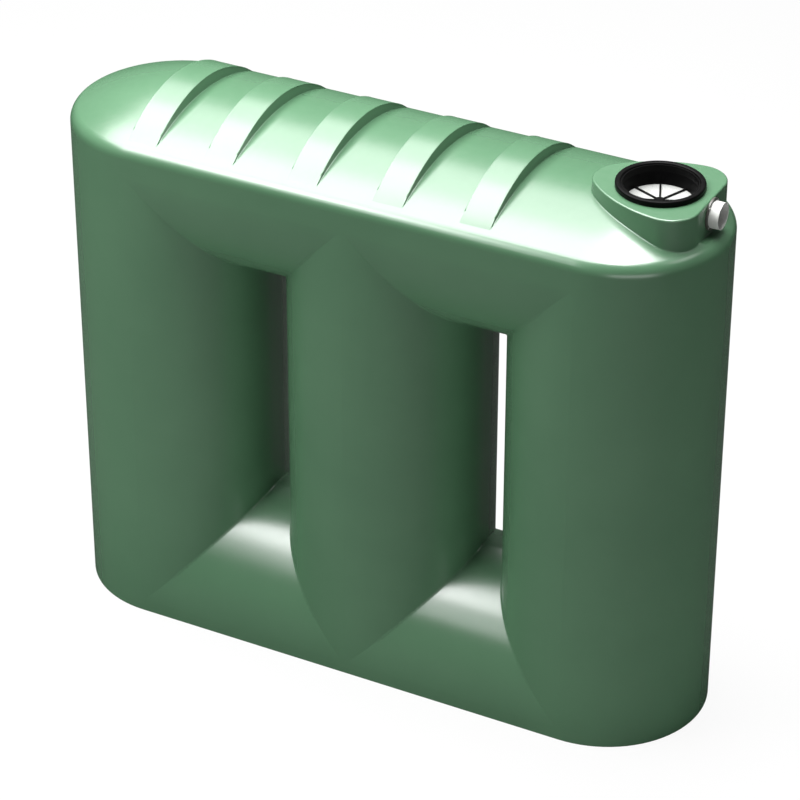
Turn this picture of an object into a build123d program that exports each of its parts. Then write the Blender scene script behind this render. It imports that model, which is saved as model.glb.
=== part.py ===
from build123d import *
import os
from math import cos, radians, sin, sqrt

# A slimline rainwater tank, rotomoulded in polyethylene. Its plan is two half
# circles joined by straight sides. Two slots with flared mouths run through it
# from front to back, five ribs cross its roof, and a raised turret on the right
# end carries the leaf strainer and the overflow.
# X runs along the tank, the front faces -Y, and the origin is the base centre.

# Moulded tank
length = 2400.0
width = 738.0
wall = 7.0
shoulder_height = 1864.0
rim_radius = 50.0
roof_rise = 94.0

# Slots through the tank, with their flared mouths
slot_half_width = 57.0
slot_half_depth = 12.0
mouth_bottom = 48.0
mouth_drop = 102.0
flare_rise = 401.0
flare_lead_angle = 2.0

# Ribs across the roof
rib_count = 5
rib_width = 109.0
rib_height = 42.0
rib_half_span = 325.0
rib_first_pitch = 292.5
rib_last_setback = 370.0

# Turret on the right end of the roof
turret_height = 42.0
turret_edge_radius = 6.0
turret_setback = 63.0
turret_length = 407.0
turret_nose_radius = 110.0
turret_nose_angle = 45.0
turret_corner_y = 106.0
turret_corner_radius = 98.0

# Flat ledge that clears the overflow flange
ledge_clearance = 13.0
ledge_length = 38.0
ledge_half_width = 94.0
ledge_corner_radius = 50.0

# Leaf strainer
strainer_setback = 179.0
strainer_rim_radius = 146.0
strainer_rim_height = 20.0
strainer_rim_edge = 6.0
strainer_rim_foot = 4.0
basket_radius = 126.0
basket_wall = 4.0
basket_depth = 56.0
basket_collar = 10.0
basket_taper = 8.0
basket_seat = 5.0
basket_seat_height = 3.0
mesh_thickness = 1.5
spoke_count = 8
spoke_first_angle = 22.5
spoke_width = 6.0
spoke_height = 5.0
hub_radius = 13.0
hub_height = 8.0
fit_clearance = 0.3
hole_clearance = 1.5

# Overflow outlet
pipe_radius = 45.0
pipe_wall = 4.0
pipe_shoulder = 1.0
pipe_reach = 40.0
pipe_drop = 53.0
flange_radius = 54.0
flange_thickness = 6.0

# Places that follow from the sizes above
half_width = width / 2
end_x = (length - width) / 2
recess_reach = end_x / 2
ridge_height = shoulder_height + roof_rise
roof_radius = (half_width**2 + roof_rise**2) / (2 * roof_rise)
roof_centre = ridge_height - roof_radius
rim_y = half_width - rim_radius
wall_top = roof_centre + sqrt((roof_radius - rim_radius) ** 2 - rim_y**2)
mouth_top = shoulder_height - mouth_drop
rib_first_x = rib_width / 2 - end_x
rib_last_x = end_x - rib_last_setback
rib_pitch = (rib_last_x - rib_first_x - rib_first_pitch) / (rib_count - 2)
rib_top = ridge_height + rib_height
rib_foot = roof_centre + sqrt(roof_radius**2 - rib_half_span**2)
rib_rise = rib_top - rib_foot
rib_radius = (rib_half_span**2 + rib_rise**2) / (2 * rib_rise)
rib_centre = rib_top - rib_radius
turret_top_height = ridge_height + turret_height
turret_end_x = length / 2 - turret_setback
strainer_x = turret_end_x - strainer_setback
rim_top = turret_top_height + strainer_rim_height
basket_bottom = turret_top_height - basket_depth
pipe_height = turret_top_height - pipe_drop
shank_radius = pipe_radius - pipe_shoulder
ledge_height = pipe_height - flange_radius - ledge_clearance

# The turret's long sides are arcs that touch the nose and the corners
turret_nose_x = turret_end_x - turret_length + turret_nose_radius
turret_corner_x = turret_end_x - turret_corner_radius
nose_turn = radians(turret_nose_angle)
nose_gap = turret_corner_x - turret_nose_x
radius_step = turret_nose_radius - turret_corner_radius
side_lean = nose_gap * cos(nose_turn) - turret_corner_y * sin(nose_turn) + radius_step
side_shift = (nose_gap**2 + turret_corner_y**2 - radius_step**2) / (2 * side_lean)
side_radius = turret_nose_radius + side_shift
side_centre_x = turret_nose_x + side_shift * cos(nose_turn)
side_centre_y = -side_shift * sin(nose_turn)

os.makedirs("parts", exist_ok=True)


def finish_piece(builder, name):
    builder.part.label = name
    export_step(builder.part, "parts/" + name + ".step")


# Outlines. Each takes an inset, so that the same curve gives a face of the
# moulding and the inner side of its wall.


def half_roof_outline(inset):
    """Half of the roof's section, from the ridge out to the rounded rim."""
    share = (roof_radius - inset) / (roof_radius - rim_radius)
    join = (share * rim_y, roof_centre + share * (wall_top - roof_centre))
    with BuildSketch() as outline:
        with BuildLine():
            TangentArc((0, ridge_height - inset), join, tangent=(1, 0))
            TangentArc((half_width - inset, wall_top), join, tangent=(0, 1))
            Polyline((half_width - inset, wall_top), (0, wall_top), (0, ridge_height - inset))
        make_face()
    return outline.sketch


def roof_outline(inset):
    """The whole section of the roof, above the top of the walls."""
    with BuildSketch() as outline:
        add(half_roof_outline(inset))
        mirror(about=Plane.YZ)
    return outline.sketch


def rib_outline(inset):
    """The segment under a rib's arc."""
    foot = rib_foot - 2 * inset
    half_chord = sqrt((rib_radius - inset) ** 2 - (foot - rib_centre) ** 2)
    with BuildSketch() as outline:
        with BuildLine():
            ThreePointArc((-half_chord, foot), (0, rib_top - inset), (half_chord, foot))
            Line((-half_chord, foot), (half_chord, foot))
        make_face()
    return outline.sketch


def flare_outline(reach, lead, inset):
    """What bulges into a recess from one side: flare, slot face and flare."""
    face = half_width - inset
    slot = reach - inset
    with BuildSketch() as outline:
        with BuildLine():
            TangentArc((face, 0), (slot_half_depth, slot), tangent=(-sin(lead), cos(lead)))
            Line((slot_half_depth, slot), (-slot_half_depth, slot))
            TangentArc((-face, 0), (-slot_half_depth, slot), tangent=(sin(lead), cos(lead)))
            Line((-face, 0), (face, 0))
        make_face()
    return outline.sketch


def turret_outline(inset):
    """A rounded triangle: a nose, two long curved sides and two corners."""
    nose = turret_nose_radius - inset
    nose_end = (turret_nose_x - nose * cos(nose_turn), nose * sin(nose_turn))
    share = (side_radius - inset) / (side_radius - turret_corner_radius)
    side_end = (
        side_centre_x + share * (turret_corner_x - side_centre_x),
        side_centre_y + share * (turret_corner_y - side_centre_y),
    )
    tip = (turret_nose_x - nose, 0)
    face = turret_end_x - inset
    with BuildSketch() as outline:
        with BuildLine():
            TangentArc(tip, nose_end, tangent=(0, 1))
            TangentArc(nose_end, side_end, tangent=(sin(nose_turn), cos(nose_turn)))
            TangentArc((face, turret_corner_y), side_end, tangent=(0, 1))
            Polyline((face, turret_corner_y), (face, 0), tip)
        make_face()
        mirror(about=Plane.XZ)
    return outline.sketch


# Planes that the outlines are drawn on


def plane_right(x, z):
    """Level plane whose outline bulges towards +X from x."""
    return Plane(origin=(x, 0, z), x_dir=(0, -1, 0), z_dir=(0, 0, 1))


def plane_left(x, z):
    """Level plane whose outline bulges towards -X from x."""
    return Plane(origin=(x, 0, z), x_dir=(0, 1, 0), z_dir=(0, 0, 1))


def plane_up(x, z):
    """Upright plane whose outline bulges upwards from z."""
    return Plane(origin=(x, 0, z), x_dir=(0, 1, 0), z_dir=(1, 0, 0))


def plane_down(x, z):
    """Upright plane whose outline bulges downwards from z."""
    return Plane(origin=(x, 0, z), x_dir=(0, -1, 0), z_dir=(1, 0, 0))


# Floor of the moulding
with BuildPart() as floor_plate:
    with BuildSketch():
        SlotOverall(length, width)
    extrude(amount=wall)
finish_piece(floor_plate, "floor_plate")

# Rounded end walls
for name, centre_x, side in (("left_end_wall", -end_x, -1), ("right_end_wall", end_x, 1)):
    with BuildPart() as end_wall:
        with BuildSketch(Plane.XY.offset(wall)):
            with Locations((centre_x, 0)):
                Circle(half_width)
                Circle(half_width - wall, mode=Mode.SUBTRACT)
            with Locations((centre_x + side * half_width, 0)):
                Rectangle(width, width, mode=Mode.INTERSECT)
        extrude(amount=wall_top - wall)
    finish_piece(end_wall, name)

# Plain bands of the long walls, below and above the recess mouths
for face_name, side in (("front", -1), ("back", 1)):
    for level, low, high in (("lower", wall, mouth_bottom), ("upper", mouth_top, wall_top)):
        with BuildPart() as band:
            with BuildSketch(Plane.XY.offset(low)):
                with Locations((0, side * (half_width - wall / 2))):
                    Rectangle(2 * end_x, wall)
            extrude(amount=high - low)
        finish_piece(band, face_name + "_" + level + "_band")

# Walls beside the slots, as solid pillars and then as skins
flare_reach = recess_reach - slot_half_width
flare_lead = radians(flare_lead_angle)
mouth_height = mouth_top - mouth_bottom
recess_walls = {
    "left_recess_outer_wall": plane_right(-end_x, mouth_bottom),
    "left_recess_inner_wall": plane_left(0, mouth_bottom),
    "right_recess_inner_wall": plane_right(0, mouth_bottom),
    "right_recess_outer_wall": plane_left(end_x, mouth_bottom),
}

with BuildPart() as pillars:
    for plane in recess_walls.values():
        with BuildSketch(plane):
            add(flare_outline(flare_reach, 0, 0))
        extrude(amount=mouth_height)

with BuildPart() as hollow_below_and_above:
    with BuildSketch(plane_up(-end_x, mouth_bottom)):
        add(flare_outline(flare_rise, flare_lead, wall))
    extrude(amount=2 * end_x)
    with BuildSketch(plane_down(-end_x, mouth_top)):
        add(flare_outline(flare_rise, flare_lead, wall))
    extrude(amount=2 * end_x)

for name, plane in recess_walls.items():
    with BuildPart() as recess_wall:
        with BuildSketch(plane):
            add(flare_outline(flare_reach, 0, 0))
            add(flare_outline(flare_reach, 0, wall), mode=Mode.SUBTRACT)
        extrude(amount=mouth_height)
        add(hollow_below_and_above.part, mode=Mode.SUBTRACT)
    finish_piece(recess_wall, name)

# Sills and heads of the slots, with the ramps that lead up and down to them
for side_name, recess_left in (("left", -end_x), ("right", 0)):
    ramps = (
        ("sill", plane_up(recess_left, mouth_bottom)),
        ("head", plane_down(recess_left, mouth_top)),
    )
    for level, plane in ramps:
        with BuildPart() as ramp:
            with BuildSketch(plane):
                add(flare_outline(flare_rise, flare_lead, 0))
                add(flare_outline(flare_rise, flare_lead, wall), mode=Mode.SUBTRACT)
            extrude(amount=2 * recess_reach)
            add(pillars.part, mode=Mode.SUBTRACT)
        finish_piece(ramp, side_name + "_recess_" + level)

# Roof: ribs, the panels between them, and a rounded end each side
rib_starts = [rib_last_x - rib_width / 2 - n * rib_pitch for n in range(rib_count - 1)]
rib_starts = [-end_x] + rib_starts[::-1]
panel_starts = [start + rib_width for start in rib_starts]
panel_ends = rib_starts[1:] + [end_x]

with BuildPart() as turret_opening:
    with BuildSketch(Plane.XY.offset(wall_top)):
        add(turret_outline(wall))
    extrude(amount=turret_top_height - wall_top)

for number, rib_start in enumerate(rib_starts, start=1):
    with BuildPart() as roof_rib:
        with BuildSketch(Plane.YZ.offset(rib_start)):
            add(roof_outline(0))
            add(rib_outline(0))
            add(roof_outline(wall), mode=Mode.SUBTRACT)
        extrude(amount=rib_width)
        with BuildSketch(Plane.YZ.offset(rib_start + wall)):
            add(rib_outline(wall))
        extrude(amount=rib_width - 2 * wall, mode=Mode.SUBTRACT)
    finish_piece(roof_rib, "roof_rib_" + str(number))

for number, (start, end) in enumerate(zip(panel_starts, panel_ends), start=1):
    with BuildPart() as roof_panel:
        with BuildSketch(Plane.YZ.offset(start)):
            add(roof_outline(0))
            add(roof_outline(wall), mode=Mode.SUBTRACT)
        extrude(amount=end - start)
        add(turret_opening.part, mode=Mode.SUBTRACT)
    finish_piece(roof_panel, "roof_panel_" + str(number))

with BuildPart() as roof_left_end:
    with BuildSketch(Plane.YZ.offset(-end_x)):
        add(half_roof_outline(0))
        add(half_roof_outline(wall), mode=Mode.SUBTRACT)
    revolve(axis=Axis((-end_x, 0, 0), (0, 0, 1)), revolution_arc=180)
finish_piece(roof_left_end, "roof_left_end")

# The right end is cut open for a flat ledge, which lies under the overflow flange
right_dome_plane = Plane(origin=(end_x, 0, 0), x_dir=(0, -1, 0), z_dir=(-1, 0, 0))
right_dome_axis = Axis((end_x, 0, 0), (0, 0, 1))


def ledge_outline(outset):
    """The ledge seen from above, with rounded far corners and run in under the turret."""
    with BuildSketch() as outline:
        with Locations((strainer_x, 0)):
            Rectangle(
                turret_end_x + ledge_length + outset - strainer_x,
                2 * (ledge_half_width + outset),
                align=(Align.MIN, Align.CENTER),
            )
        fillet(outline.vertices().group_by(Axis.X)[-1], ledge_corner_radius + outset)
    return outline.sketch


with BuildPart() as roof_right_end:
    with BuildSketch(right_dome_plane):
        add(half_roof_outline(0))
        add(half_roof_outline(wall), mode=Mode.SUBTRACT)
    revolve(axis=right_dome_axis, revolution_arc=180)
    add(turret_opening.part, mode=Mode.SUBTRACT)
    with BuildSketch(Plane.XY.offset(ledge_height - wall)):
        add(ledge_outline(wall))
    extrude(amount=ridge_height - ledge_height, mode=Mode.SUBTRACT)
finish_piece(roof_right_end, "roof_right_end")

with BuildPart() as overflow_ledge:
    with BuildSketch(right_dome_plane):
        add(half_roof_outline(0))
    revolve(axis=right_dome_axis, revolution_arc=180)
    with BuildSketch(Plane.XY.offset(ledge_height - wall)):
        add(ledge_outline(wall))
        add(turret_outline(wall), mode=Mode.SUBTRACT)
    extrude(amount=ridge_height - ledge_height, mode=Mode.INTERSECT)
    with BuildSketch(Plane.XY.offset(ledge_height)):
        add(ledge_outline(0))
        add(turret_outline(0), mode=Mode.SUBTRACT)
    extrude(amount=ridge_height - ledge_height, mode=Mode.SUBTRACT)
finish_piece(overflow_ledge, "overflow_ledge")

# Turret: an upright wall that stands on the roof, and a flat top
with BuildPart() as under_turret:
    with BuildSketch(Plane.YZ.offset(panel_starts[-1])):
        add(roof_outline(0))
    extrude(amount=end_x - panel_starts[-1])
    with BuildSketch(right_dome_plane):
        add(half_roof_outline(0))
    revolve(axis=right_dome_axis, revolution_arc=180)

with BuildPart() as turret_wall:
    with BuildSketch(Plane.XY.offset(wall_top)):
        add(turret_outline(0))
        add(turret_outline(wall), mode=Mode.SUBTRACT)
    extrude(amount=turret_top_height - wall - wall_top)
    add(under_turret.part, mode=Mode.SUBTRACT)
    with BuildSketch(Plane.YZ.offset(turret_end_x)):
        with Locations((0, pipe_height)):
            Circle(shank_radius)
    extrude(amount=-2 * wall, mode=Mode.SUBTRACT)
finish_piece(turret_wall, "turret_wall")

with BuildPart() as turret_top:
    with BuildSketch(Plane.XY.offset(turret_top_height - wall)):
        add(turret_outline(0))
        with Locations((strainer_x, 0)):
            Circle(basket_radius + hole_clearance, mode=Mode.SUBTRACT)
    extrude(amount=wall)
    top_face = turret_top.faces().sort_by(Axis.Z)[-1]
    fillet(top_face.outer_wire().edges(), turret_edge_radius)
finish_piece(turret_top, "turret_top")

# Leaf strainer: a rounded rim, a tapered basket, and a mesh under eight spokes
strainer_plane = Plane(origin=(strainer_x, 0, 0), x_dir=(1, 0, 0), z_dir=(0, -1, 0))
strainer_axis = Axis((strainer_x, 0, 0), (0, 0, 1))
basket_foot_radius = basket_radius - basket_taper
mesh_radius = basket_foot_radius - basket_wall - fit_clearance
mesh_bottom = basket_bottom + basket_seat_height
mesh_top = mesh_bottom + mesh_thickness

with BuildPart() as strainer_rim:
    with BuildSketch(strainer_plane):
        with Locations(((basket_radius + strainer_rim_radius) / 2, turret_top_height)):
            Rectangle(
                strainer_rim_radius - basket_radius,
                strainer_rim_height,
                align=(Align.CENTER, Align.MIN),
            )
    revolve(axis=strainer_axis)
    fillet(strainer_rim.edges().group_by(Axis.Z)[-1], strainer_rim_edge)
    rim_foot = strainer_rim.edges().group_by(Axis.Z)[0].sort_by(SortBy.RADIUS)[-1]
    fillet(rim_foot, strainer_rim_foot)
finish_piece(strainer_rim, "strainer_rim")

with BuildPart() as strainer_basket:
    with BuildSketch(strainer_plane):
        with BuildLine():
            Polyline(
                (basket_radius, rim_top - strainer_rim_edge),
                (basket_radius, turret_top_height - basket_collar),
                (basket_foot_radius, basket_bottom),
                (basket_foot_radius - basket_wall - basket_seat, basket_bottom),
                (basket_foot_radius - basket_wall - basket_seat, mesh_bottom),
                (basket_foot_radius - basket_wall, mesh_bottom),
                (basket_radius - basket_wall, turret_top_height - basket_collar),
                (basket_radius - basket_wall, rim_top - strainer_rim_edge),
                close=True,
            )
        make_face()
    revolve(axis=strainer_axis)
finish_piece(strainer_basket, "strainer_basket")

with BuildPart() as strainer_mesh:
    with BuildSketch(Plane.XY.offset(mesh_bottom)):
        with Locations((strainer_x, 0)):
            Circle(mesh_radius)
    extrude(amount=mesh_thickness)
finish_piece(strainer_mesh, "strainer_mesh")

with BuildPart() as strainer_spider:
    with BuildSketch(Plane.XY.offset(mesh_top)):
        with Locations((strainer_x, 0)):
            with PolarLocations(0, spoke_count, start_angle=spoke_first_angle):
                Rectangle(mesh_radius, spoke_width, align=(Align.MIN, Align.CENTER))
            Circle(mesh_radius, mode=Mode.INTERSECT)
    extrude(amount=spoke_height)
    with BuildSketch(Plane.XY.offset(mesh_top)):
        with Locations((strainer_x, 0)):
            Circle(hub_radius)
    extrude(amount=hub_height)
finish_piece(strainer_spider, "strainer_spider")

# Overflow: a screwed flange round a short plain spigot
with BuildPart() as overflow_flange:
    with BuildSketch(Plane.YZ.offset(turret_end_x)):
        with Locations((0, pipe_height)):
            Circle(flange_radius)
            Circle(shank_radius, mode=Mode.SUBTRACT)
    extrude(amount=flange_thickness)
finish_piece(overflow_flange, "overflow_flange")

spigot_start = turret_end_x + flange_thickness + pipe_shoulder
with BuildPart() as overflow_pipe:
    with BuildSketch(Plane.YZ.offset(turret_end_x - wall)):
        with Locations((0, pipe_height)):
            Circle(shank_radius)
    extrude(amount=spigot_start - turret_end_x + wall)
    with BuildSketch(Plane.YZ.offset(spigot_start)):
        with Locations((0, pipe_height)):
            Circle(pipe_radius)
    extrude(amount=turret_end_x + pipe_reach - spigot_start)
    with BuildSketch(Plane.YZ.offset(turret_end_x - wall)):
        with Locations((0, pipe_height)):
            Circle(pipe_radius - pipe_wall)
    extrude(amount=wall + pipe_reach, mode=Mode.SUBTRACT)
finish_piece(overflow_pipe, "overflow_pipe")
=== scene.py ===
from math import atan2, cos, hypot, pi, radians, sin, sqrt

import bpy
from mathutils import Matrix, Vector


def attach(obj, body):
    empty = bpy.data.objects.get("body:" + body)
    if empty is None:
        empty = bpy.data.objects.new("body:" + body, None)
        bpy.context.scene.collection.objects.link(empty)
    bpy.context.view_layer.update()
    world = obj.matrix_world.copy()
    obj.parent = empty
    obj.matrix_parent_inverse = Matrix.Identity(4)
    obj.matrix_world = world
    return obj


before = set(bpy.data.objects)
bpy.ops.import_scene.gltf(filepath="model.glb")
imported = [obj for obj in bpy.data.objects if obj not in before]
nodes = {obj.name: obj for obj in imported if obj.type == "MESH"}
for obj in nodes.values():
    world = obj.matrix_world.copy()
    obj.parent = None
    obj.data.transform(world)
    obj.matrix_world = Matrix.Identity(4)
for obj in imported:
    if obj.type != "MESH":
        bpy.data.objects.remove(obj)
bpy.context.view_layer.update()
scene = bpy.context.scene
scene.view_settings.view_transform = "Standard"

# Moulded tank: the shell is rotomoulded in one piece from dark green polyethylene.
# The skin is glossy, with the faint orange peel and mottling that the oven leaves,
# and a little dust on what faces up. It stands free on its flat floor.
tank_green = (0.066, 0.155, 0.082, 1.0)
tank_green_pale = (0.071, 0.163, 0.087, 1.0)
tank_green_deep = (0.061, 0.147, 0.077, 1.0)
dust_grey_green = (0.42, 0.52, 0.44, 1.0)
gloss_spread = 0.02
dust_dulling = 0.1
plain_shine = 0.5
tank_shine = 1.0


def group_socket(group, name, direction, value=None):
    socket = group.interface.new_socket(name=name, in_out=direction, socket_type="NodeSocketFloat")
    if value is not None:
        socket.default_value = value


def moulded_surface_group():
    """Mottling, peel and dust masks of a moulded plastic skin, from its place and slope."""
    group = bpy.data.node_groups.new("moulded_surface", "ShaderNodeTree")
    group_socket(group, "Mottle Scale", "INPUT", 4.0)
    group_socket(group, "Peel Scale", "INPUT", 60.0)
    group_socket(group, "Dust Amount", "INPUT", 0.2)
    for name in ("Mottle", "Peel", "Dust", "Wear"):
        group_socket(group, name, "OUTPUT")
    make = group.nodes.new
    link = group.links.new
    inputs = make("NodeGroupInput")
    outputs = make("NodeGroupOutput")
    place = make("ShaderNodeTexCoord")

    broad = make("ShaderNodeTexNoise")
    broad.inputs["Detail"].default_value = 4.0
    broad.inputs["Roughness"].default_value = 0.55
    link(place.outputs["Object"], broad.inputs["Vector"])
    link(inputs.outputs["Mottle Scale"], broad.inputs["Scale"])
    link(broad.outputs["Fac"], outputs.inputs["Mottle"])

    peel = make("ShaderNodeTexNoise")
    peel.inputs["Detail"].default_value = 2.0
    peel.inputs["Roughness"].default_value = 0.45
    link(place.outputs["Object"], peel.inputs["Vector"])
    link(inputs.outputs["Peel Scale"], peel.inputs["Scale"])
    link(peel.outputs["Fac"], outputs.inputs["Peel"])

    slope = make("ShaderNodeNewGeometry")
    split = make("ShaderNodeSeparateXYZ")
    link(slope.outputs["Normal"], split.inputs["Vector"])
    upward = make("ShaderNodeMapRange")
    upward.inputs["From Min"].default_value = 0.35
    upward.inputs["From Max"].default_value = 1.0
    link(split.outputs["Z"], upward.inputs["Value"])
    speck = make("ShaderNodeTexNoise")
    speck.inputs["Scale"].default_value = 38.0
    speck.inputs["Detail"].default_value = 2.0
    speck.inputs["Roughness"].default_value = 0.5
    link(place.outputs["Object"], speck.inputs["Vector"])
    patch = make("ShaderNodeMath")
    patch.operation = "MULTIPLY"
    link(broad.outputs["Fac"], patch.inputs[0])
    link(speck.outputs["Fac"], patch.inputs[1])
    settled = make("ShaderNodeMath")
    settled.operation = "MULTIPLY"
    link(patch.outputs["Value"], settled.inputs[0])
    link(upward.outputs["Result"], settled.inputs[1])
    dust = make("ShaderNodeMath")
    dust.operation = "MULTIPLY"
    dust.use_clamp = True
    link(settled.outputs["Value"], dust.inputs[0])
    link(inputs.outputs["Dust Amount"], dust.inputs[1])
    link(dust.outputs["Value"], outputs.inputs["Dust"])

    wear = make("ShaderNodeMapRange")
    wear.inputs["From Min"].default_value = 0.35
    wear.inputs["From Max"].default_value = 0.70
    link(speck.outputs["Fac"], wear.inputs["Value"])
    link(wear.outputs["Result"], outputs.inputs["Wear"])
    return group


moulded_surface = moulded_surface_group()


def moulded_plastic(
    name, colours, dust_colour, gloss, shine, mottle_scale, peel_scale, dust_amount, peel_height
):
    """A plastic whose colour runs through three shades, with dust and peel from the group."""
    deep, middle, pale = colours
    material = bpy.data.materials.new(name)
    material.use_nodes = True
    tree = material.node_tree
    make = tree.nodes.new
    link = tree.links.new
    shader = tree.nodes["Principled BSDF"]
    shader.inputs["IOR"].default_value = 1.5
    shader.inputs["Specular IOR Level"].default_value = shine

    surface = make("ShaderNodeGroup")
    surface.node_tree = moulded_surface
    surface.inputs["Mottle Scale"].default_value = mottle_scale
    surface.inputs["Peel Scale"].default_value = peel_scale
    surface.inputs["Dust Amount"].default_value = dust_amount

    shades = make("ShaderNodeValToRGB")
    shades.color_ramp.elements[0].position = 0.32
    shades.color_ramp.elements[0].color = deep
    shades.color_ramp.elements[1].position = 0.68
    shades.color_ramp.elements[1].color = pale
    shades.color_ramp.elements.new(0.5).color = middle
    link(surface.outputs["Mottle"], shades.inputs["Fac"])
    dusted = make("ShaderNodeMix")
    dusted.data_type = "RGBA"
    link(surface.outputs["Dust"], dusted.inputs["Factor"])
    link(shades.outputs["Color"], dusted.inputs["A"])
    dusted.inputs["B"].default_value = dust_colour
    link(dusted.outputs["Result"], shader.inputs["Base Color"])

    sheen = make("ShaderNodeMapRange")
    sheen.inputs["To Min"].default_value = gloss
    sheen.inputs["To Max"].default_value = gloss + gloss_spread
    link(surface.outputs["Wear"], sheen.inputs["Value"])
    dull = make("ShaderNodeMath")
    dull.operation = "MULTIPLY_ADD"
    dull.inputs[1].default_value = dust_dulling
    link(surface.outputs["Dust"], dull.inputs[0])
    link(sheen.outputs["Result"], dull.inputs[2])
    link(dull.outputs["Value"], shader.inputs["Roughness"])

    bump = make("ShaderNodeBump")
    bump.inputs["Strength"].default_value = 0.5
    bump.inputs["Distance"].default_value = peel_height
    link(surface.outputs["Peel"], bump.inputs["Height"])
    link(bump.outputs["Normal"], shader.inputs["Normal"])
    return material


tank_plastic = moulded_plastic(
    "tank_plastic",
    (tank_green_deep, tank_green, tank_green_pale),
    dust_grey_green,
    gloss=0.25,
    shine=tank_shine,
    mottle_scale=1.6,
    peel_scale=55.0,
    dust_amount=0.05,
    peel_height=0.00012,
)

strainer_and_outlet = ("strainer_", "overflow_flange", "overflow_pipe")


def dress(name, material):
    node = nodes[name]
    node.data.materials.clear()
    node.data.materials.append(material)


for name in nodes:
    if not name.startswith(strainer_and_outlet):
        dress(name, tank_plastic)


# Soft inner corners: where two faces of the moulding meet in a hollow, the plastic
# flows round the corner in a small radius. Each strip here is that radius. The
# first runs along the foot of the turret.
half_width = 0.369
end_x = 0.831
ridge_height = 1.958
roof_rise = 0.094
roof_radius = (half_width**2 + roof_rise**2) / (2 * roof_rise)
roof_centre = ridge_height - roof_radius
strip_steps = 6
skin_overlap = 0.0002
strip_root_depth = 0.0008


def roof_height(x, y):
    """Height of the plain roof: a ridge between the ends, a dome beyond them."""
    across = hypot(max(abs(x) - end_x, 0.0), y)
    return roof_centre + sqrt(roof_radius**2 - across**2)


def add_piece(name, points, faces, material):
    mesh = bpy.data.meshes.new(name)
    mesh.from_pydata([tuple(point) for point in points], [], faces)
    mesh.validate()
    mesh.polygons.foreach_set("use_smooth", [True] * len(mesh.polygons))
    mesh.materials.append(material)
    piece = bpy.data.objects.new(name, mesh)
    scene.collection.objects.link(piece)
    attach(piece, "root")
    return piece


def corner_strips(name, runs):
    """Concave strips. Each run is a list of (corner, step along one face, step along the other)."""
    points = []
    faces = []
    for run in runs:
        first = len(points)
        for corner, along, up in run:
            inward = -(along + up).normalized()
            start = corner + along + inward * skin_overlap
            finish = corner + up + inward * skin_overlap
            for step in range(strip_steps + 1):
                share = step / strip_steps
                left = 1 - share
                points.append(start * left**2 + corner * 2 * share * left + finish * share**2)
            points.append(corner + inward * strip_root_depth)
        ring = strip_steps + 2
        for row in range(len(run) - 1):
            for step in range(ring):
                a = first + row * ring + step
                b = first + row * ring + (step + 1) % ring
                faces.append((a, b, b + ring, a + ring))
        last = first + (len(run) - 1) * ring
        faces.append(tuple(first + step for step in reversed(range(ring))))
        faces.append(tuple(last + step for step in range(ring)))
    return add_piece(name, points, faces, tank_plastic)


# The turret's outline: nose, long curved side and corner, then the flat end face
turret_end_x = 1.137
turret_tip_x = 0.730
turret_nose_radius = 0.110
turret_nose_angle = radians(45)
turret_corner = (1.039, 0.106)
turret_corner_radius = 0.098
turret_side_shift = 0.32595
turret_foot_size = 0.004
turret_foot_end_y = 0.102
nose_steps = 14
side_steps = 20
corner_steps = 24
slope_probe = 0.002

nose_x = turret_tip_x + turret_nose_radius
side_radius = turret_nose_radius + turret_side_shift
side_centre = (
    nose_x + turret_side_shift * cos(turret_nose_angle),
    -turret_side_shift * sin(turret_nose_angle),
)
side_turn_end = atan2(turret_corner[1] - side_centre[1], turret_corner[0] - side_centre[0])
outline_arcs = (
    (nose_x, 0.0, turret_nose_radius, pi, pi - turret_nose_angle, nose_steps),
    (*side_centre, side_radius, pi - turret_nose_angle, side_turn_end, side_steps),
    (*turret_corner, turret_corner_radius, side_turn_end, 0.0, corner_steps),
)
half_outline = []
for centre_x, centre_y, radius, turn_from, turn_to, count in outline_arcs:
    for step in range(count):
        turn = turn_from + (turn_to - turn_from) * step / count
        x, y = centre_x + radius * cos(turn), centre_y + radius * sin(turn)
        half_outline.append((x, y, cos(turn), sin(turn)))
half_outline.append((turret_end_x, turret_corner[1], 1.0, 0.0))
half_outline.append((turret_end_x, turret_foot_end_y, 1.0, 0.0))
mirrored = [(x, -y, out_x, -out_y) for x, y, out_x, out_y in half_outline[:0:-1]]
turret_foot = []
for x, y, out_x, out_y in mirrored + half_outline:
    height = roof_height(x, y)
    fall = (roof_height(x + slope_probe * out_x, y + slope_probe * out_y) - height) / slope_probe
    outward = Vector((out_x, out_y, fall)).normalized()
    turret_foot.append(
        (Vector((x, y, height)), outward * turret_foot_size, Vector((0, 0, turret_foot_size)))
    )
corner_strips("turret_foot_radius", [turret_foot])

# Soft corner of the ledge: the foot of the turret's flat end face, moulded in the
# same skin, where it stands on the small level ledge under the overflow.
ledge_height = 1.880
ledge_half_width = 0.094
ledge_foot_size = 0.004
ledge_foot_steps = 12
ledge_foot = []
for step in range(ledge_foot_steps + 1):
    y = ledge_half_width * (2 * step / ledge_foot_steps - 1)
    ledge_foot.append(
        (
            Vector((turret_end_x, y, ledge_height)),
            Vector((ledge_foot_size, 0, 0)),
            Vector((0, 0, ledge_foot_size)),
        )
    )
corner_strips("ledge_foot_radius", [ledge_foot])

# Soft corners of the ribs: each of the five ribs stands on the roof with a small
# radius along both feet, which dies out where the rib runs into the roof.
rib_width = 0.109
rib_half_span = 0.325
rib_top = 2.000
rib_starts = (-0.831, -0.5385, -0.2235, 0.0915, 0.4065)
rib_foot_height = roof_height(0, rib_half_span)
rib_rise = rib_top - rib_foot_height
rib_radius = (rib_half_span**2 + rib_rise**2) / (2 * rib_rise)
rib_centre = rib_top - rib_radius
rib_foot_size = 0.003
rib_steps = 48


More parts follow.
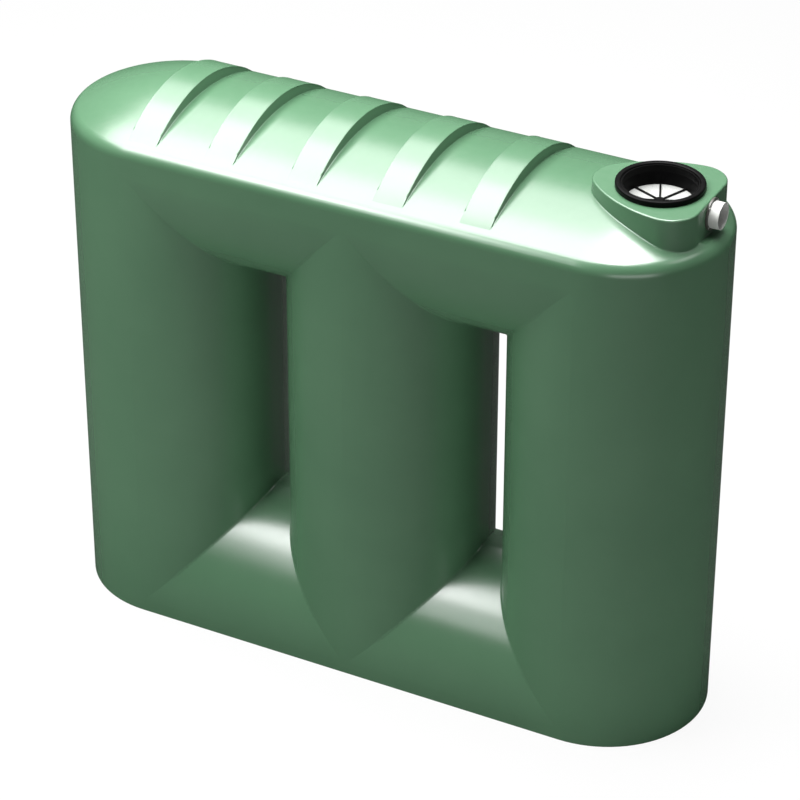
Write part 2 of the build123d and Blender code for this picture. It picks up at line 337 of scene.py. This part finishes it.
def rib_height_at(y):
    return rib_centre + sqrt(rib_radius**2 - y**2)


rib_feet = []
for rib_start in rib_starts:
    for x, side in ((rib_start, -1), (rib_start + rib_width, 1)):
        run = []
        for step in range(1, rib_steps):
            y = rib_half_span * (2 * step / rib_steps - 1)
            height = roof_height(x + side * rib_foot_size / 2, y)
            proud = min(rib_foot_size, rib_height_at(y) - height)
            along_roof = Vector((side * rib_foot_size, 0, 0))
            run.append((Vector((x, y, height)), along_roof, Vector((0, 0, proud))))
        rib_feet.append(run)
corner_strips("rib_foot_radius", rib_feet)

# Soft hollows of the recesses: each sloping sill and head meets the rounded side
# walls in a moulded radius that starts at the outer corner and runs to the slot.
slot_half_depth = 0.012
recess_corner_y = 0.352
mouth_bottom = 0.048
mouth_top = 1.762
flare_rise = 0.401
flare_reach = 0.3585
flare_lead = radians(2)
hollow_size = 0.006
hollow_steps = 40
hollow_first_share = 0.15
hollow_growth_steps = 8
side_span = half_width - slot_half_depth
pillar_radius = (side_span**2 + flare_reach**2) / (2 * side_span)
ramp_radius = (side_span**2 + flare_rise**2) / (
    2 * side_span * cos(flare_lead) - 2 * flare_rise * sin(flare_lead)
)


def pillar_reach(y):
    return sqrt(pillar_radius**2 - (y - half_width + pillar_radius) ** 2)


def ramp_rise(y):
    centre_y = half_width - ramp_radius * cos(flare_lead)
    return sqrt(ramp_radius**2 - (y - centre_y) ** 2) - ramp_radius * sin(flare_lead)


recess_hollows = []
for face_x, side in ((-end_x, 1), (0.0, -1), (0.0, 1), (end_x, -1)):
    for face_y in (-1, 1):
        for level, way in ((mouth_bottom, 1), (mouth_top, -1)):
            run = []
            for step in range(hollow_steps + 1):
                inward_share = (step / hollow_steps) ** 2
                y = recess_corner_y + (slot_half_depth - recess_corner_y) * inward_share
                size = hollow_size * min(1.0, hollow_first_share + step / hollow_growth_steps)
                reach = face_x + side * pillar_reach(y)
                corner = Vector((reach, face_y * y, level + way * ramp_rise(y)))
                run.append((corner, Vector((side * size, 0, 0)), Vector((0, 0, way * size))))
            recess_hollows.append(run)
corner_strips("recess_hollow_radius", recess_hollows)


# Rounded rib edges: the long edges of the ribs come off the mould slightly rounded.
# A thin bead of the same plastic runs along each edge and catches the light.
bead_radius = 0.0022
bead_inset = 0.0016
bead_sides = 10
bead_half_span = 0.290

bead_points = []
bead_faces = []
for rib_start in rib_starts:
    for x in (rib_start + bead_inset, rib_start + rib_width - bead_inset):
        first = len(bead_points)
        for step in range(rib_steps + 1):
            y = bead_half_span * (2 * step / rib_steps - 1)
            lean = y / rib_radius
            out = Vector((0, lean, sqrt(1 - lean**2)))
            centre = Vector((x, y, rib_height_at(y))) - out * bead_inset
            for corner in range(bead_sides):
                turn = 2 * pi * corner / bead_sides
                spoke = cos(turn) * Vector((1, 0, 0)) + sin(turn) * out
                bead_points.append(centre + bead_radius * spoke)
        for step in range(rib_steps):
            for corner in range(bead_sides):
                a = first + step * bead_sides + corner
                b = first + step * bead_sides + (corner + 1) % bead_sides
                bead_faces.append((a, b, b + bead_sides, a + bead_sides))
        last = first + rib_steps * bead_sides
        bead_faces.append(tuple(first + corner for corner in reversed(range(bead_sides))))
        bead_faces.append(tuple(last + corner for corner in range(bead_sides)))
add_piece("rib_edge_beads", bead_points, bead_faces, tank_plastic)


# Leaf strainer: a black satin rim, basket and spider, injection moulded and dropped
# into the hole in the turret. The pale woven mesh is welded round its edge, under
# the spider.
strainer_black = (0.0020, 0.0020, 0.0021, 1.0)
strainer_black_pale = (0.0030, 0.0030, 0.0031, 1.0)
strainer_black_deep = (0.0014, 0.0014, 0.0015, 1.0)
strainer_dust = (0.20, 0.20, 0.18, 1.0)
strainer_shine = 0.06
strainer_plastic = moulded_plastic(
    "strainer_plastic",
    (strainer_black_deep, strainer_black, strainer_black_pale),
    strainer_dust,
    gloss=0.36,
    shine=strainer_shine,
    mottle_scale=14.0,
    peel_scale=420.0,
    dust_amount=0.02,
    peel_height=0.0003,
)
for name in ("strainer_rim", "strainer_basket", "strainer_spider"):
    dress(name, strainer_plastic)

mesh_pitch = 0.0016
wave_pitch_at_scale_one = 0.31416
mesh_pale = (0.46, 0.47, 0.455, 1.0)
mesh_gap = (0.16, 0.165, 0.16, 1.0)
mesh_stain = (0.55, 0.53, 0.47, 1.0)


def woven_mesh_material():
    material = bpy.data.materials.new("strainer_mesh_weave")
    material.use_nodes = True
    tree = material.node_tree
    make = tree.nodes.new
    link = tree.links.new
    shader = tree.nodes["Principled BSDF"]
    shader.inputs["Metallic"].default_value = 0.25
    shader.inputs["Roughness"].default_value = 0.38
    place = make("ShaderNodeTexCoord")
    wires = []
    for direction in ("X", "Y"):
        wave = make("ShaderNodeTexWave")
        wave.wave_type = "BANDS"
        wave.bands_direction = direction
        wave.wave_profile = "SIN"
        wave.inputs["Scale"].default_value = wave_pitch_at_scale_one / mesh_pitch
        link(place.outputs["Object"], wave.inputs["Vector"])
        wires.append(wave)
    crossed = make("ShaderNodeMath")
    crossed.operation = "MAXIMUM"
    link(wires[0].outputs["Fac"], crossed.inputs[0])
    link(wires[1].outputs["Fac"], crossed.inputs[1])
    open_gaps = make("ShaderNodeValToRGB")
    open_gaps.color_ramp.elements[0].position = 0.12
    open_gaps.color_ramp.elements[0].color = mesh_gap
    open_gaps.color_ramp.elements[1].position = 0.40
    open_gaps.color_ramp.elements[1].color = mesh_pale
    link(crossed.outputs["Value"], open_gaps.inputs["Fac"])
    stain = make("ShaderNodeTexNoise")
    stain.inputs["Scale"].default_value = 30.0
    stain.inputs["Detail"].default_value = 5.0
    link(place.outputs["Object"], stain.inputs["Vector"])
    marks = make("ShaderNodeMapRange")
    marks.inputs["From Min"].default_value = 0.58
    marks.inputs["From Max"].default_value = 0.80
    marks.inputs["To Max"].default_value = 0.5
    link(stain.outputs["Fac"], marks.inputs["Value"])
    stained = make("ShaderNodeMix")
    stained.data_type = "RGBA"
    link(marks.outputs["Result"], stained.inputs["Factor"])
    link(open_gaps.outputs["Color"], stained.inputs["A"])
    stained.inputs["B"].default_value = mesh_stain
    link(stained.outputs["Result"], shader.inputs["Base Color"])
    bump = make("ShaderNodeBump")
    bump.inputs["Strength"].default_value = 0.4
    bump.inputs["Distance"].default_value = 0.0004
    link(crossed.outputs["Value"], bump.inputs["Height"])
    link(bump.outputs["Normal"], shader.inputs["Normal"])
    return material


mesh_weave = woven_mesh_material()
dress("strainer_mesh", mesh_weave)


# Overflow outlet: a stub of white plastic pipe, extruded and cut square, is pushed
# through a dark moulded flange into the turret's end face.
pipe_white = (0.50, 0.51, 0.49, 1.0)
pipe_white_pale = (0.54, 0.55, 0.53, 1.0)
pipe_white_deep = (0.46, 0.47, 0.45, 1.0)
pipe_dust = (0.60, 0.58, 0.52, 1.0)
outlet_plastic = moulded_plastic(
    "outlet_plastic",
    (pipe_white_deep, pipe_white, pipe_white_pale),
    pipe_dust,
    gloss=0.26,
    shine=plain_shine,
    mottle_scale=20.0,
    peel_scale=300.0,
    dust_amount=0.12,
    peel_height=0.0002,
)
dress("overflow_pipe", outlet_plastic)

flange_grey = (0.055, 0.055, 0.046, 1.0)
flange_grey_pale = (0.065, 0.065, 0.055, 1.0)
flange_grey_deep = (0.045, 0.045, 0.038, 1.0)
flange_dust = (0.45, 0.44, 0.40, 1.0)
flange_plastic = moulded_plastic(
    "flange_plastic",
    (flange_grey_deep, flange_grey, flange_grey_pale),
    flange_dust,
    gloss=0.30,
    shine=plain_shine,
    mottle_scale=24.0,
    peel_scale=300.0,
    dust_amount=0.15,
    peel_height=0.0002,
)
dress("overflow_flange", flange_plastic)


# Flange screws: four pan-head screws of stainless steel, turned and rolled, hold the
# flange to the turret. Only their domed heads show.
screw_count = 4
first_screw_angle = 45
screw_circle = 0.0492
screw_head_radius = 0.0040
screw_head_height = 0.0022
screw_dome_share = 0.9
screw_sides = 24
screw_rings = 5
flange_thickness = 0.006
flange_face_x = turret_end_x + flange_thickness
pipe_height = 1.947
steel_grey = (0.52, 0.53, 0.52, 1.0)
steel_grey_pale = (0.80, 0.81, 0.79, 1.0)


def brushed_steel():
    material = bpy.data.materials.new("screw_steel")
    material.use_nodes = True
    tree = material.node_tree
    make = tree.nodes.new
    link = tree.links.new
    shader = tree.nodes["Principled BSDF"]
    shader.inputs["Metallic"].default_value = 1.0
    grain = make("ShaderNodeTexNoise")
    grain.inputs["Scale"].default_value = 900.0
    grain.inputs["Detail"].default_value = 3.0
    place = make("ShaderNodeTexCoord")
    link(place.outputs["Object"], grain.inputs["Vector"])
    tint = make("ShaderNodeValToRGB")
    tint.color_ramp.elements[0].color = steel_grey
    tint.color_ramp.elements[1].color = steel_grey_pale
    link(grain.outputs["Fac"], tint.inputs["Fac"])
    link(tint.outputs["Color"], shader.inputs["Base Color"])
    rough = make("ShaderNodeMapRange")
    rough.inputs["To Min"].default_value = 0.22
    rough.inputs["To Max"].default_value = 0.42
    link(grain.outputs["Fac"], rough.inputs["Value"])
    link(rough.outputs["Result"], shader.inputs["Roughness"])
    bump = make("ShaderNodeBump")
    bump.inputs["Strength"].default_value = 0.2
    bump.inputs["Distance"].default_value = 0.0001
    link(grain.outputs["Fac"], bump.inputs["Height"])
    link(bump.outputs["Normal"], shader.inputs["Normal"])
    return material


screw_steel = brushed_steel()
screw_points = []
screw_faces = []
for screw in range(screw_count):
    turn = radians(first_screw_angle + 360 / screw_count * screw)
    across = screw_circle * cos(turn)
    middle = Vector((flange_face_x, across, pipe_height + screw_circle * sin(turn)))
    first = len(screw_points)
    for ring in range(screw_rings + 1):
        share = ring / screw_rings
        radius = screw_head_radius * cos(share * pi / 2 * screw_dome_share)
        lift = screw_head_height * sin(share * pi / 2)
        for side in range(screw_sides):
            angle = 2 * pi * side / screw_sides
            spoke = Vector((lift, radius * cos(angle), radius * sin(angle)))
            screw_points.append(middle + spoke)
    for ring in range(screw_rings):
        for side in range(screw_sides):
            a = first + ring * screw_sides + side
            b = first + ring * screw_sides + (side + 1) % screw_sides
            screw_faces.append((a, b, b + screw_sides, a + screw_sides))
    last = first + screw_rings * screw_sides
    screw_faces.append(tuple(first + side for side in reversed(range(screw_sides))))
    screw_faces.append(tuple(last + side for side in range(screw_sides)))
add_piece("flange_screws", screw_points, screw_faces, screw_steel)


# Camera: a long lens stands about twelve metres away, above the tank's front and
# right end, at the height and turn worked out from the tank's outline.
camera_lens = 147.9
camera_place = (4.4956, -8.6004, 6.8982)
camera_yaw = radians(27.462)
camera_tilt = radians(58.404)
camera_roll = radians(0.124)
sensor_width = 36.0
camera_sees_to = 200.0

camera = bpy.data.objects.new("camera", bpy.data.cameras.new("camera"))
scene.collection.objects.link(camera)
camera.data.lens = camera_lens
camera.data.sensor_width = sensor_width
camera.data.clip_end = camera_sees_to
camera.matrix_world = (
    Matrix.Translation(camera_place)
    @ Matrix.Rotation(camera_yaw, 4, "Z")
    @ Matrix.Rotation(camera_tilt, 4, "X")
    @ Matrix.Rotation(camera_roll, 4, "Z")
)
scene.camera = camera


# Soft boxes: six cloth-fronted lamps hang level over the tank, in front of it and to
# its right. Their reflections make the broad highlights of the roof and the sills.
# A seventh stands low on the right and lights the right end.
straight_down = (0, 0, -1)
towards_the_tank = (-0.60, 0.80, 0)
soft_boxes = (
    ("overhead_box", (-2.20, -0.15, 6.1), (4.8, 2.9), 400.0, straight_down),
    ("turret_box", (0.80, 0.40, 6.1), (1.8, 3.0), 300.0, straight_down),
    ("back_box", (-1.80, 2.80, 6.1), (4.6, 3.0), 200.0, straight_down),
    ("front_box", (-2.70, -3.00, 6.1), (2.0, 2.6), 265.0, straight_down),
    ("low_front_box", (-3.20, -6.60, 6.1), (1.9, 4.6), 160.0, straight_down),
    ("right_box", (4.30, 1.20, 6.1), (2.0, 2.6), 40.0, straight_down),
    ("low_right_box", (5.00, -6.00, 1.3), (6.0, 2.4), 90.0, towards_the_tank),
)
for name, place, size, power, facing in soft_boxes:
    lamp = bpy.data.objects.new(name, bpy.data.lights.new(name, "AREA"))
    scene.collection.objects.link(lamp)
    lamp.data.shape = "RECTANGLE"
    lamp.data.size, lamp.data.size_y = size
    lamp.data.energy = power
    aim = Vector(facing).to_track_quat("-Z", "Y").to_matrix().to_4x4()
    lamp.matrix_world = Matrix.Translation(place) @ aim


# Sky: a faint even fill all round. The camera sees plain white there, and the gloss
# of the plastic sees a share of it.
sky_white = (1.0, 1.0, 1.0, 1.0)
sky_fill = 0.03
sky_seen_in_gloss = 0.10
sky_seen_by_camera = 1.0
sky = bpy.data.worlds.new("studio_sky")
scene.world = sky
sky.use_nodes = True
sky_tree = sky.node_tree
sky_tree.nodes.clear()


def background_rays(tree, gloss_share):
    """How much of the white backdrop a ray sees: all of it, or a share of it in a reflection."""
    rays = tree.nodes.new("ShaderNodeLightPath")
    gloss = tree.nodes.new("ShaderNodeMath")
    gloss.operation = "MULTIPLY"
    gloss.inputs[1].default_value = gloss_share
    tree.links.new(rays.outputs["Is Glossy Ray"], gloss.inputs[0])
    seen = gloss.outputs["Value"]
    for kind in ("Is Transmission Ray", "Is Camera Ray"):
        either = tree.nodes.new("ShaderNodeMath")
        either.operation = "MAXIMUM"
        tree.links.new(seen, either.inputs[0])
        tree.links.new(rays.outputs[kind], either.inputs[1])
        seen = either.outputs["Value"]
    return seen


fill = sky_tree.nodes.new("ShaderNodeBackground")
fill.inputs["Color"].default_value = sky_white
fill.inputs["Strength"].default_value = sky_fill
white = sky_tree.nodes.new("ShaderNodeBackground")
white.inputs["Color"].default_value = sky_white
white.inputs["Strength"].default_value = sky_seen_by_camera
choose = sky_tree.nodes.new("ShaderNodeMixShader")
sky_out = sky_tree.nodes.new("ShaderNodeOutputWorld")
sky_tree.links.new(background_rays(sky_tree, sky_seen_in_gloss), choose.inputs[0])
sky_tree.links.new(fill.outputs["Background"], choose.inputs[1])
sky_tree.links.new(white.outputs["Background"], choose.inputs[2])
sky_tree.links.new(choose.outputs["Shader"], sky_out.inputs["Surface"])


# Floor: a wide pale floor that bounces light back on the tank. The camera sees it
# nearly white, with the tank's faint shadow, and the gloss sees it dark.
floor_size = 60.0
floor_grey = 0.76
floor_grey_in_gloss = 0.04
floor_white_share = 0.92
floor_white_in_gloss = 0.0
floor_shade = (0.06, 0.06, 0.06, 1.0)
floor_roughness = 0.9
half_floor = floor_size / 2
floor_mesh = bpy.data.meshes.new("studio_floor")
floor_mesh.from_pydata(
    [
        (-half_floor, -half_floor, 0.0),
        (half_floor, -half_floor, 0.0),
        (half_floor, half_floor, 0.0),
        (-half_floor, half_floor, 0.0),
    ],
    [],
    [(0, 1, 2, 3)],
)
studio_floor = bpy.data.objects.new("studio_floor", floor_mesh)
scene.collection.objects.link(studio_floor)
floor_paint = bpy.data.materials.new("floor_paint")
floor_paint.use_nodes = True
floor_tree = floor_paint.node_tree
floor_shader = floor_tree.nodes["Principled BSDF"]
floor_rays = floor_tree.nodes.new("ShaderNodeLightPath")
floor_tone = floor_tree.nodes.new("ShaderNodeMapRange")
floor_tone.inputs["To Min"].default_value = floor_grey
floor_tone.inputs["To Max"].default_value = floor_grey_in_gloss
floor_tree.links.new(floor_rays.outputs["Is Glossy Ray"], floor_tone.inputs["Value"])
floor_tree.links.new(floor_tone.outputs["Result"], floor_shader.inputs["Base Color"])
floor_shader.inputs["Roughness"].default_value = floor_roughness
floor_shader.inputs["Specular IOR Level"].default_value = 0.0
floor_white = floor_tree.nodes.new("ShaderNodeEmission")
floor_white.inputs["Strength"].default_value = floor_white_share
floor_shadow = floor_tree.nodes.new("ShaderNodeBsdfDiffuse")
floor_shadow.inputs["Color"].default_value = floor_shade
floor_seen = floor_tree.nodes.new("ShaderNodeAddShader")
floor_tree.links.new(floor_white.outputs["Emission"], floor_seen.inputs[0])
floor_tree.links.new(floor_shadow.outputs["BSDF"], floor_seen.inputs[1])
floor_mix = floor_tree.nodes.new("ShaderNodeMixShader")
floor_tree.links.new(background_rays(floor_tree, floor_white_in_gloss), floor_mix.inputs[0])
floor_tree.links.new(floor_shader.outputs["BSDF"], floor_mix.inputs[1])
floor_tree.links.new(floor_seen.outputs["Shader"], floor_mix.inputs[2])
floor_out = floor_tree.nodes["Material Output"]
floor_tree.links.new(floor_mix.outputs["Shader"], floor_out.inputs["Surface"])
floor_mesh.materials.append(floor_paint)
